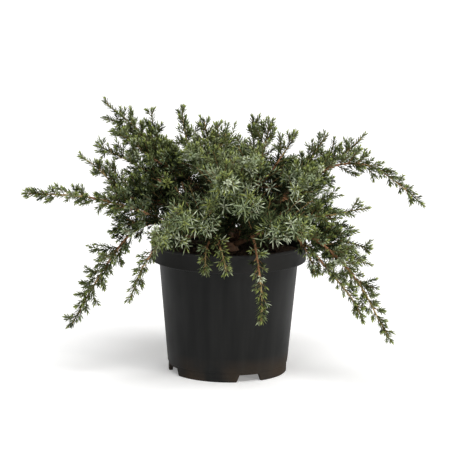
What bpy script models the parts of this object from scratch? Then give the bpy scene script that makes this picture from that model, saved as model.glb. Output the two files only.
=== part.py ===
"""A silver carpet juniper in its round nursery pot.

The plant stands on the peat in the pot: a short main stem, boughs that leave it on
all sides, and masses of foliage that carry on from the boughs' ends. Lengths are in
metres and angles in degrees. The origin is on the pot's axis, on the ground. +X is to
the right and -Y towards the viewer, and an azimuth turns from +X towards +Y.
"""

import math

import bmesh
import bpy
import numpy as np
from mathutils import Vector

# Driving dimensions of the pot
POT_HEIGHT = 0.160
RIM_RADIUS = 0.095
BAND_HEIGHT = 0.022
BODY_TOP_RADIUS = 0.0848
BODY_FOOT_RADIUS = 0.0734
FOOT_RADIUS = 0.0722
FOOT_HEIGHT = 0.012
WALL = 0.0016
LIP_ROUNDING = 0.0011
FOOT_WALL = 0.0045
FLOOR_HEIGHT = 0.009
FLOOR_ROUNDING = 0.003
CHAMFER = 0.0010
POT_STEPS = 40

# The four drain notches cut in the pot's foot
NOTCH_COUNT = 4
NOTCH_AZIMUTH = 292.0
NOTCH_HALF_WIDTH = 0.0165
NOTCH_TOP_SHARE = 0.78
NOTCH_HEIGHT = 0.0088
NOTCH_DEPTH = 0.020
NOTCH_OVERCUT = 0.002
DRAIN_RADIUS = 0.0055
DRAIN_REACH = 0.057
DRAIN_SEGMENTS = 10

# The peat and the short main stem
GAP = 0.0003
PEAT_EDGE = 0.1455
PEAT_MIDDLE = 0.1490
PEAT_CROWN_RADIUS = 0.018
PEAT_SLOPE_RADIUS = 0.050
STEM_TOP = 0.1900
STEM_RADIUS = 0.0080
STEM_TOP_RADIUS = 0.0055
FLARE_RADIUS = 0.0115
FLARE_TOP_RADIUS = 0.0092
FLARE_HEIGHT = 0.003
STEM_WAIST = 0.009
STEM_MIDDLE_RADIUS = 0.0070
STEM_LEAN = 0.0020

# Boughs: foot height, azimuth, rise at the foot, rise at the end, length
BOUGH_FOOT_RADIUS = 0.0030
BOUGH_END_RADIUS = 0.0019
BOUGH_POINTS = 6
BOUGHS = {
    "left_low": (0.158, 195, 36, 8, 0.078),
    "left_front": (0.166, 225, 14, 0, 0.062),
    "left_upper": (0.170, 180, 40, 32, 0.060),
    "left_top": (0.179, 158, 56, 50, 0.060),
    "top_left": (0.186, 200, 70, 74, 0.045),
    "top_right": (0.184, 350, 66, 58, 0.050),
    "right_upper": (0.173, 12, 38, 30, 0.062),
    "right_mid": (0.168, 338, 30, 22, 0.060),
    "right_low": (0.157, 336, 30, 4, 0.076),
    "front_right": (0.162, 294, 22, 8, 0.060),
    "front_left": (0.160, 253, 28, 10, 0.060),
    "front_upper": (0.177, 272, 50, 42, 0.058),
    "back_left": (0.165, 128, 26, 14, 0.062),
    "back": (0.175, 92, 40, 30, 0.060),
    "back_right": (0.161, 50, 24, 10, 0.062),
}

# Limbs of foliage, each on from a bough's end: bough, azimuth, rise at the start, rise
# at the tip, how late it bends, length, half width, half depth, number of masses
LIMBS = {
    "left_long": ("left_low", 202, 30, 3, 0.6, 0.188, 0.022, 0.020, 2),
    "left_weeping": ("left_low", 190, 0, -70, 0.4, 0.183, 0.025, 0.024, 3),
    "left_rim": ("left_front", 222, 15, -77, 0.7, 0.124, 0.016, 0.014, 1),
    "left_skirt": ("left_front", 242, 14, -6, 1.0, 0.086, 0.036, 0.026, 1),
    "upper_left": ("left_upper", 172, 49, 16, 1.0, 0.131, 0.034, 0.032, 1),
    "mid_left": ("left_upper", 196, 12, 40, 0.9, 0.143, 0.034, 0.032, 1),
    "high_left": ("left_top", 165, 42, 38, 1.0, 0.154, 0.034, 0.030, 1),
    "high_back_left": ("left_top", 144, 46, 54, 1.0, 0.112, 0.036, 0.034, 1),
    "top_left": ("top_left", 170, 51, 90, 1.0, 0.108, 0.030, 0.030, 1),
    "top_front": ("top_left", 248, 50, 44, 1.0, 0.086, 0.038, 0.034, 1),
    "top_middle": ("top_left", 62, 50, 66, 1.0, 0.088, 0.040, 0.036, 1),
    "top_right": ("top_right", 20, 84, 88, 1.0, 0.090, 0.034, 0.034, 1),
    "top_far_right": ("top_right", 0, 47, 65, 1.0, 0.086, 0.032, 0.032, 1),
    "right_long": ("right_upper", 10, 55, -56, 0.9, 0.218, 0.025, 0.026, 3),
    "right_far_high": ("right_upper", 20, 26, 44, 1.0, 0.142, 0.024, 0.022, 1),
    "right_high": ("right_upper", 38, 48, 46, 1.0, 0.112, 0.034, 0.032, 1),
    "right_mid": ("right_mid", 350, 2, 12, 1.0, 0.114, 0.032, 0.028, 1),
    "right_front": ("right_mid", 320, 50, 44, 1.0, 0.096, 0.038, 0.034, 1),
    "right_weeping": ("right_low", 338, 0, -66, 0.5, 0.190, 0.027, 0.024, 3),
    "right_inner": ("right_low", 322, -10, -55, 0.4, 0.150, 0.018, 0.016, 1),
    "right_low": ("right_low", 354, 6, -6, 1.0, 0.100, 0.030, 0.026, 1),
    "front_hanging": ("front_right", 281, 10, -88, 0.75, 0.138, 0.015, 0.013, 2),
    "front_right": ("front_right", 304, 22, 0, 1.0, 0.112, 0.042, 0.034, 1),
    "front_sprigs": ("front_left", 262, 6, -85, 1.3, 0.078, 0.017, 0.010, 1),
    "front_left": ("front_left", 244, 30, 6, 1.0, 0.108, 0.042, 0.034, 1),
    "front_middle": ("front_upper", 264, 32, 6, 1.0, 0.126, 0.042, 0.036, 1),
    "front_high": ("front_upper", 292, 48, 30, 1.0, 0.098, 0.040, 0.036, 1),
    "back_left_low": ("back_left", 142, 22, -14, 1.0, 0.125, 0.042, 0.032, 1),
    "back_left_high": ("back_left", 116, 42, 26, 1.0, 0.112, 0.044, 0.038, 1),
    "back_weeping": ("back_right", 74, 12, -66, 0.8, 0.150, 0.034, 0.028, 2),
    "back_high": ("back", 92, 46, 32, 1.0, 0.110, 0.044, 0.040, 1),
    "back_right_high": ("back_right", 54, 44, 26, 1.0, 0.118, 0.044, 0.038, 1),
    "back_right_low": ("back_right", 32, 14, -22, 1.0, 0.140, 0.038, 0.032, 1),
}

# The solids of foliage
MASS_SEGMENTS = 10
MASS_RINGS = 7
MASS_GAP = 0.0016
MASS_INSET = 0.28
MASS_OVERRUN = 7
STRETCH_POINTS = 5
MASS_THINNING = 0.16
TIP_TAPER = 0.55
FULLNESS = 0.6
LUMP_HEIGHT = 0.12
BROAD_LUMPS = 3
FINE_LUMPS = 5
FINE_SHARE = 0.7
LUMP_TWIST = 4.0
RAGGEDNESS = 0.16
PATH_STEPS = 48
SEED = 41

# Base colour, roughness and metallic value of each material
FINISHES = {
    "pot_plastic": ((0.030, 0.032, 0.034), 0.42, 0.0),
    "peat": ((0.040, 0.026, 0.017), 0.95, 0.0),
    "bark": ((0.170, 0.085, 0.045), 0.85, 0.0),
    "foliage": ((0.110, 0.160, 0.115), 0.75, 0.0),
}


def clear_scene():
    for item in list(bpy.data.objects):
        bpy.data.objects.remove(item, do_unlink=True)


def new_collection(name):
    collection = bpy.data.collections.new(name)
    bpy.context.scene.collection.children.link(collection)
    return collection


def new_material(node_name, finish):
    colour, roughness, metallic = FINISHES[finish]
    material = bpy.data.materials.new(f"{node_name}_{finish}")
    material.use_nodes = True
    shader = material.node_tree.nodes["Principled BSDF"]
    shader.inputs["Base Color"].default_value = (*colour, 1.0)
    shader.inputs["Roughness"].default_value = roughness
    shader.inputs["Metallic"].default_value = metallic
    return material


def new_part(name, mesh, collection, finish=None):
    part = bpy.data.objects.new(name, mesh)
    collection.objects.link(part)
    if finish:
        mesh.materials.append(new_material(name, finish))
    return part


def mesh_from_bmesh(name, bm):
    mesh = bpy.data.meshes.new(name)
    bm.to_mesh(mesh)
    bm.free()
    return mesh


def turned_mesh(name, profile):
    """A section's outline of (radius, height) points, both ends on the axis, as edges."""
    mesh = bpy.data.meshes.new(name)
    points = [(radius, 0.0, height) for radius, height in profile]
    edges = [(i, i + 1) for i in range(len(points) - 1)]
    mesh.from_pydata(points, edges, [])
    return mesh


def add_screw(part, steps):
    screw = part.modifiers.new("turned", "SCREW")
    screw.steps = steps
    screw.render_steps = steps
    screw.use_merge_vertices = True
    screw.merge_threshold = 0.00005
    return screw


def round_lip(centre_radius, centre_height, rounding, count=4):
    """Half a circle over the lip, from the inner wall to the outer wall."""
    angles = [math.pi * (1 - i / count) for i in range(count + 1)]
    return [
        (centre_radius + rounding * math.cos(a), centre_height + rounding * math.sin(a))
        for a in angles
    ]


def inner_wall():
    """The pot's inside, from the middle of the floor up to the top of the band."""
    ledge = POT_HEIGHT - BAND_HEIGHT
    floor = FLOOR_HEIGHT + WALL
    return [
        (0.0, floor),
        (BODY_FOOT_RADIUS - WALL - FLOOR_ROUNDING, floor),
        (BODY_FOOT_RADIUS - WALL, floor + FLOOR_ROUNDING),
        (BODY_TOP_RADIUS - WALL, ledge - CHAMFER / 2),
        (RIM_RADIUS - 2 * LIP_ROUNDING - CHAMFER / 2, ledge + WALL),
    ]


def outer_wall():
    """The pot's outside, from the band's side down to the foot and in under the floor."""
    ledge = POT_HEIGHT - BAND_HEIGHT
    return [
        (RIM_RADIUS, ledge + CHAMFER),
        (RIM_RADIUS - CHAMFER, ledge),
        (BODY_TOP_RADIUS, ledge - CHAMFER / 4),
        (BODY_FOOT_RADIUS, FOOT_HEIGHT),
        (BODY_FOOT_RADIUS - CHAMFER, FOOT_HEIGHT - CHAMFER / 2),
        (FOOT_RADIUS, CHAMFER / 2),
        (FOOT_RADIUS - CHAMFER / 2, 0.0),
        (FOOT_RADIUS - FOOT_WALL, 0.0),
        (FOOT_RADIUS - FOOT_WALL - CHAMFER, FLOOR_HEIGHT),
        (0.0, FLOOR_HEIGHT),
    ]


def drain_cutters(collection):
    """Trapezoid notches through the foot, and a round drain hole in the floor behind each."""
    cutters = []
    for i in range(NOTCH_COUNT):
        azimuth = math.radians(NOTCH_AZIMUTH + 360.0 * i / NOTCH_COUNT)
        bm = bmesh.new()
        bmesh.ops.create_cube(bm, size=1.0)
        for vert in bm.verts:
            share = NOTCH_TOP_SHARE if vert.co.z > 0 else 1.0
            vert.co.x *= NOTCH_DEPTH
            vert.co.y *= 2 * NOTCH_HALF_WIDTH * share
            vert.co.z = NOTCH_HEIGHT if vert.co.z > 0 else -NOTCH_OVERCUT
        notch = new_part(f"notch_cutter_{i}", mesh_from_bmesh("notch", bm), collection)
        notch.location = (
            FOOT_RADIUS * math.cos(azimuth),
            FOOT_RADIUS * math.sin(azimuth),
            0.0,
        )
        notch.rotation_euler = (0.0, 0.0, azimuth)
        bm = bmesh.new()
        bmesh.ops.create_cone(
            bm,
            cap_ends=True,
            segments=DRAIN_SEGMENTS,
            radius1=DRAIN_RADIUS,
            radius2=DRAIN_RADIUS,
            depth=3 * FLOOR_HEIGHT,
        )
        drain = new_part(f"drain_cutter_{i}", mesh_from_bmesh("drain", bm), collection)
        drain.location = (
            DRAIN_REACH * math.cos(azimuth),
            DRAIN_REACH * math.sin(azimuth),
            FLOOR_HEIGHT,
        )
        cutters += [notch, drain]
    for cutter in cutters:
        cutter.hide_render = True
        cutter.display_type = "WIRE"
    return cutters


def make_pot(parts, cutters):
    """The pot: one section turned round the axis, with the notches and drains cut out."""
    lip = round_lip(RIM_RADIUS - LIP_ROUNDING, POT_HEIGHT - LIP_ROUNDING, LIP_ROUNDING)
    pot = new_part("pot", turned_mesh("pot", inner_wall() + lip + outer_wall()), parts, "pot_plastic")
    add_screw(pot, POT_STEPS)
    for cutter in drain_cutters(cutters):
        cut = pot.modifiers.new(cutter.name, "BOOLEAN")
        cut.operation = "DIFFERENCE"
        cut.solver = "EXACT"
        cut.object = cutter
    return pot


def make_peat(parts):
    """The peat: it fills the pot to its wall and rises a little round the stem."""
    ledge = POT_HEIGHT - BAND_HEIGHT
    floor = FLOOR_HEIGHT + WALL + GAP
    foot = BODY_FOOT_RADIUS - WALL - GAP
    body = BODY_TOP_RADIUS - WALL - GAP
    band = RIM_RADIUS - 2 * LIP_ROUNDING - CHAMFER - GAP
    rounding = FLOOR_ROUNDING + GAP
    profile = [
        (0.0, PEAT_MIDDLE),
        (PEAT_CROWN_RADIUS, PEAT_MIDDLE),
        (PEAT_SLOPE_RADIUS, (PEAT_MIDDLE + PEAT_EDGE) / 2),
        (band, PEAT_EDGE),
        (band, ledge + WALL + CHAMFER),
        (body, ledge + GAP / 2),
        (foot, floor + rounding),
        (foot - rounding, floor),
        (0.0, floor),
    ]
    peat = new_part("peat", turned_mesh("peat", profile), parts, "peat")
    add_screw(peat, POT_STEPS)
    return peat


def tube_mesh(name, points, radii):
    """A tapering round tube along points, with its caps welded on."""
    curve = bpy.data.curves.new(name, "CURVE")
    curve.dimensions = "3D"
    curve.bevel_depth = 1.0
    curve.bevel_resolution = 2
    curve.use_fill_caps = True
    spline = curve.splines.new("POLY")
    spline.points.add(len(points) - 1)
    for point, place, radius in zip(spline.points, points, radii):
        point.co = (*place, 1.0)
        point.radius = radius
    guide = bpy.data.objects.new(name, curve)
    bpy.context.scene.collection.objects.link(guide)
    graph = bpy.context.evaluated_depsgraph_get()
    mesh = bpy.data.meshes.new_from_object(guide.evaluated_get(graph))
    bpy.data.objects.remove(guide, do_unlink=True)
    bpy.data.curves.remove(curve)
    bm = bmesh.new()
    bm.from_mesh(mesh)
    bmesh.ops.remove_doubles(bm, verts=bm.verts, dist=0.00001)
    bmesh.ops.recalc_face_normals(bm, faces=bm.faces)
    bm.to_mesh(mesh)
    bm.free()
    mesh.name = name
    mesh.materials.clear()
    return mesh


def make_stem(parts):
    """The short main stem, from its flared foot on the peat up to its fork."""
    foot = PEAT_MIDDLE + GAP
    middle = (foot + STEM_TOP) / 2
    heights = [foot, foot + FLARE_HEIGHT, foot + STEM_WAIST, middle, STEM_TOP]
    radii = [FLARE_RADIUS, FLARE_TOP_RADIUS, STEM_RADIUS, STEM_MIDDLE_RADIUS, STEM_TOP_RADIUS]
    share = [(h - foot) / (STEM_TOP - foot) for h in heights]
    points = [Vector((STEM_LEAN * s * s, 0.0, h)) for s, h in zip(share, heights)]
    stem = new_part("main_stem", tube_mesh("main_stem", points, radii), parts, "bark")
    stem.data.shade_smooth()
    stem.data.set_sharp_from_angle(angle=math.radians(50))
    return stem


def bent_path(start, azimuth, rise_start, rise_end, bend, length, steps=PATH_STEPS):
    """Points along a limb in one upright plane: its rise above the level changes from
    rise_start to rise_end as the power bend of the share of the way along it."""
    share = (np.arange(steps) + 0.5) / steps
    rise = np.radians(rise_start + (rise_end - rise_start) * share**bend)
    turn = math.radians(azimuth)
    step = np.stack(
        [
            np.cos(rise) * math.cos(turn),
            np.cos(rise) * math.sin(turn),
            np.sin(rise),
        ],
        axis=1,
    )
    path = np.zeros((steps + 1, 3))
    path[1:] = np.cumsum(step * (length / steps), axis=0)
    return path + np.asarray(start)


def bough_path(name):
    """The bough's centre line, from just clear of the stem's side."""
    height, azimuth, rise_start, rise_end, length = BOUGHS[name]
    turn = math.radians(azimuth)
    tilt = abs(math.sin(math.radians(rise_start)))
    reach = STEM_RADIUS + BOUGH_FOOT_RADIUS * tilt + GAP
    start = (reach * math.cos(turn), reach * math.sin(turn), height)
    return bent_path(start, azimuth, rise_start, rise_end, 1.0, length)


def thinned(path, count):
    """count points of a path, evenly along it."""
    picks = np.linspace(0, len(path) - 1, count).round().astype(int)
    return path[picks]


def make_boughs(parts):
    made = []
    radii = np.linspace(BOUGH_FOOT_RADIUS, BOUGH_END_RADIUS, BOUGH_POINTS)
    for name in BOUGHS:
        points = [Vector(p) for p in thinned(bough_path(name), BOUGH_POINTS)]
        mesh = tube_mesh(f"bough_{name}", points, radii)
        bough = new_part(f"bough_{name}", mesh, parts, "bark")
        mesh.shade_smooth()
        mesh.set_sharp_from_angle(angle=math.radians(50))
        made.append(bough)
    return made


def limb_path(name):
    bough, azimuth, rise_start, rise_end, bend, length = LIMBS[name][:6]
    start = bough_path(bough)[-1]
    return bent_path(start, azimuth, rise_start, rise_end, bend, length)


def limb_masses():
    """Each mass's name, stretch of centre line, half width and half depth, and the line
    that it is shaped along, which overruns the cut to the next mass of the same limb."""
    masses = []
    for name, facts in LIMBS.items():
        path = limb_path(name)
        width, depth, count = facts[6:9]
        cuts = np.linspace(0, PATH_STEPS, count + 1).round().astype(int)
        for i in range(count):
            label = f"foliage_{name}" if count == 1 else f"foliage_{name}_{i + 1}"
            thinner = 1.0 - MASS_THINNING * i
            first = cuts[i] - MASS_OVERRUN if i > 0 else 0
            last = cuts[i + 1] + MASS_OVERRUN if i < count - 1 else PATH_STEPS
            masses.append(
                {
                    "name": label,
                    "path": path[cuts[i] : cuts[i + 1] + 1],
                    "line": path[first : last + 1],
                    "width": width * thinner,
                    "depth": depth * thinner,
                    "tip": i == count - 1,
                }
            )
    return masses


def core_points(path, inset, count=9):
    """Points along a centre line, leaving out a share of it at each end."""
    last = len(path) - 1
    spots = np.linspace(inset * last, (1 - inset) * last, count)
    whole = np.arange(len(path))
    return np.stack([np.interp(spots, whole, path[:, k]) for k in range(3)], axis=1)


def closest_pair(a, b):
    """The nearest two of two sets of points."""
    apart = np.linalg.norm(a[:, None, :] - b[None, :, :], axis=2)
    i, j = np.unravel_index(apart.argmin(), apart.shape)
    return a[i], b[j]


def nearest_on_pot(points):
    """The nearest point to each, on an upright cylinder that wraps the whole pot."""
    flat = np.hypot(points[:, 0], points[:, 1])
    pull = np.minimum(1.0, (RIM_RADIUS + GAP) / np.maximum(flat, GAP))
    near = points * np.stack([pull, pull, np.ones_like(pull)], axis=1)
    near[:, 2] = np.clip(points[:, 2], 0.0, POT_HEIGHT + GAP)
    return near


def cutting_planes(masses):
    """For each mass, flat cuts as (point, outward direction) that keep it off its
    neighbours, the boughs, the stem and the pot."""
    cores = [core_points(m["path"], MASS_INSET) for m in masses]
    planes = [[] for _ in masses]
    for i in range(len(masses)):
        for j in range(i + 1, len(masses)):
            a, b = closest_pair(cores[i], cores[j])
            away = (b - a) / np.linalg.norm(b - a)
            share = masses[i]["width"] / (masses[i]["width"] + masses[j]["width"])
            middle = a + (b - a) * share
            planes[i].append((middle - away * MASS_GAP / 2, away))
            planes[j].append((middle + away * MASS_GAP / 2, -away))
    wood = [(thinned(bough_path(name), BOUGH_POINTS), BOUGH_FOOT_RADIUS) for name in BOUGHS]
    stem = np.linspace((0.0, 0.0, PEAT_MIDDLE), (0.0, 0.0, STEM_TOP), BOUGH_POINTS)
    wood.append((stem, FLARE_RADIUS))
    for i, core in enumerate(cores):
        for path, radius in wood:
            for k in range(len(path) - 1):
                stretch = np.linspace(path[k], path[k + 1], STRETCH_POINTS)
                a, b = closest_pair(core, stretch)
                away = (b - a) / np.linalg.norm(b - a)
                planes[i].append((b - away * (radius + GAP), away))
        near = nearest_on_pot(core)
        k = np.linalg.norm(core - near, axis=1).argmin()
        away = (near[k] - core[k]) / np.linalg.norm(near[k] - core[k])
        planes[i].append((near[k] - away * GAP, away))
    return planes


def shaped_mass(mass, planes, rng):
    """A sphere drawn out along the mass's centre line.

    The girth along the line is the sphere's own to the power FULLNESS, which fills out
    its ends, and narrows further towards a tip. It is multiplied by two waves of lumps
    round the line and by a ragged share of its own at each point. Each point is then
    pulled straight towards the mass's middle until no cut has it outside."""
    bm = bmesh.new()
    bmesh.ops.create_uvsphere(
        bm, u_segments=MASS_SEGMENTS, v_segments=MASS_RINGS, radius=1.0
    )
    unit = np.array([v.co[:] for v in bm.verts])
    along = unit[:, 2]
    path = mass["line"]
    spots = (along + 1) / 2 * (len(path) - 1)
    whole = np.arange(len(path))
    line = np.stack([np.interp(spots, whole, path[:, k]) for k in range(3)], axis=1)
    chord = path[-1] - path[0]
    chord /= np.linalg.norm(chord)
    level = np.cross((0.0, 0.0, 1.0), chord)
    level /= np.linalg.norm(level)
    over = np.cross(chord, level)
    taper = 1 - TIP_TAPER * np.clip(along, 0, 1) ** 1.5 if mass["tip"] else 1.0
    angle = np.arctan2(unit[:, 1], unit[:, 0])
    phase = rng.uniform(0, 2 * math.pi, 2)
    twist = LUMP_TWIST * along
    broad = np.sin(BROAD_LUMPS * angle + twist + phase[0])
    fine = np.sin(FINE_LUMPS * angle - twist + phase[1])
    lumps = 1 + LUMP_HEIGHT * (broad + FINE_SHARE * fine)
    ragged = 1 + RAGGEDNESS * rng.uniform(-1, 1, len(unit))
    size = (taper * lumps * ragged)[:, None]
    girth = np.hypot(unit[:, 0], unit[:, 1])[:, None]
    fuller = np.maximum(girth, 1e-6) ** (FULLNESS - 1)
    side = unit[:, :1] * fuller * mass["width"] * level
    height = unit[:, 1:2] * fuller * mass["depth"] * over
    shape = line + (side + height) * size
    middle = core_points(mass["path"], 0.5, 1)[0]
    reach = shape - middle
    keep = np.ones(len(shape))
    for point, away in planes:
        across = reach @ away
        room = (point - middle) @ away
        outside = across > room
        keep[outside] = np.minimum(keep[outside], room / across[outside])
    shape = middle + reach * keep[:, None]
    for vert, place in zip(bm.verts, shape):
        vert.co = Vector(place) - Vector(middle)
    return mesh_from_bmesh(mass["name"], bm), middle


def make_foliage(parts):
    rng = np.random.default_rng(SEED)
    masses = limb_masses()
    made = []
    for mass, planes in zip(masses, cutting_planes(masses)):
        mesh, middle = shaped_mass(mass, planes, rng)
        part = new_part(mass["name"], mesh, parts, "foliage")
        part.location = middle
        mesh.shade_smooth()
        mesh.set_sharp_from_angle(angle=math.radians(35))
        made.append(part)
    return made


def build():
    clear_scene()
    parts = new_collection("potted_carpet_juniper")
    cutters = new_collection("cutters")
    make_pot(parts, cutters)
    make_peat(parts)
    make_stem(parts)
    make_boughs(parts)
    make_foliage(parts)


build()
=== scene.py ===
"""The looks of a silver carpet juniper in its nursery pot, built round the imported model.

The pot is turned from its section, the peat is a rough bed with crumbs, and the plant
grows: limbs carry on from the boughs, side shoots grow from the limbs, short shoots grow
from those, and every shoot carries needles in whorls of three. Lengths are in metres and
angles in degrees. An azimuth turns from +X towards +Y, and -Y faces the viewer.
"""

import math

import bpy
import numpy as np
from mathutils import Matrix, Vector


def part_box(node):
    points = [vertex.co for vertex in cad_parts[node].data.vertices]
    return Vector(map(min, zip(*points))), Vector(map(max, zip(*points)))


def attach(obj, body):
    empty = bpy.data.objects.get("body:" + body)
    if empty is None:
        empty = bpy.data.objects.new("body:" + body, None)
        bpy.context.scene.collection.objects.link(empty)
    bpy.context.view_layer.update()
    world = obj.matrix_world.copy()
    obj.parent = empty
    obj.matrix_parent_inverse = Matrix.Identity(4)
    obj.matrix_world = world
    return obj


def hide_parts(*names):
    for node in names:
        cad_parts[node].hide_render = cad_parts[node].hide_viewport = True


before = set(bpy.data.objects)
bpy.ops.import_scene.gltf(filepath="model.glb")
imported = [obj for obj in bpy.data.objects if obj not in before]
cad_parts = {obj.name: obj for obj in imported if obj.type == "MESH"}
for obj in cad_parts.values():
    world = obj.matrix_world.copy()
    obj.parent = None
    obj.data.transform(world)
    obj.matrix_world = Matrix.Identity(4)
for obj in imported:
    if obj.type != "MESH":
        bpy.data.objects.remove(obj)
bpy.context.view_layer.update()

RNG = np.random.default_rng(94)

# The pot's section
POT_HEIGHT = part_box("pot")[1].z
RIM_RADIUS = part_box("pot")[1].x
BAND_HEIGHT = 0.022
BODY_TOP_RADIUS = 0.0848
BODY_FOOT_RADIUS = 0.0734
FOOT_RADIUS = 0.0722
FOOT_HEIGHT = 0.012
FOOT_WALL = 0.0045
FLOOR_HEIGHT = 0.009
WALL = 0.0016
LIP_ROUNDING = 0.0011
POT_TURNS = 320

# The four drain notches in the foot and the drain holes behind them
NOTCH_AZIMUTHS = (292.0, 22.0, 112.0, 202.0)
NOTCH_HALF_WIDTH = 0.0165
NOTCH_TOP_SHARE = 0.78
NOTCH_HEIGHT = 0.0088
DRAIN_RADIUS = 0.0055
DRAIN_REACH = 0.057

# The peat
PEAT_EDGE = 0.1455
PEAT_MIDDLE = 0.1490
PEAT_RADIUS = RIM_RADIUS - 2 * LIP_ROUNDING - 0.0013
CRUMB_COUNT = 1500
CRUMB_RADII = (0.0006, 0.0024)
CHIP_COUNT = 60

# The stem and the boughs
STEM_TOP = 0.1900
STEM_RADIUS = 0.0080
STEM_TOP_RADIUS = 0.0055
FLARE_RADIUS = 0.0115
STEM_LEAN = 0.0020
GAP = 0.0003
BOUGH_FOOT_RADIUS = 0.0030
BOUGH_END_RADIUS = 0.0019
LIMB_TIP_RADIUS = 0.0006
GREEN_BARK_FROM = 0.58

# Boughs: foot height, azimuth, rise at the foot, rise at the end, length
BOUGHS = {
    "left_low": (0.158, 195, 36, 8, 0.078),
    "left_front": (0.166, 225, 14, 0, 0.062),
    "left_upper": (0.170, 180, 40, 32, 0.060),
    "left_top": (0.179, 158, 56, 50, 0.060),
    "top_left": (0.186, 200, 70, 74, 0.045),
    "top_right": (0.184, 350, 66, 58, 0.050),
    "right_upper": (0.173, 12, 38, 30, 0.062),
    "right_mid": (0.168, 338, 30, 22, 0.060),
    "right_low": (0.157, 336, 30, 4, 0.076),
    "front_right": (0.162, 294, 22, 8, 0.060),
    "front_left": (0.160, 253, 28, 10, 0.060),
    "front_upper": (0.177, 272, 50, 42, 0.058),
    "back_left": (0.165, 128, 26, 14, 0.062),
    "back": (0.175, 92, 40, 30, 0.060),
    "back_right": (0.161, 50, 24, 10, 0.062),
}

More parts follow.
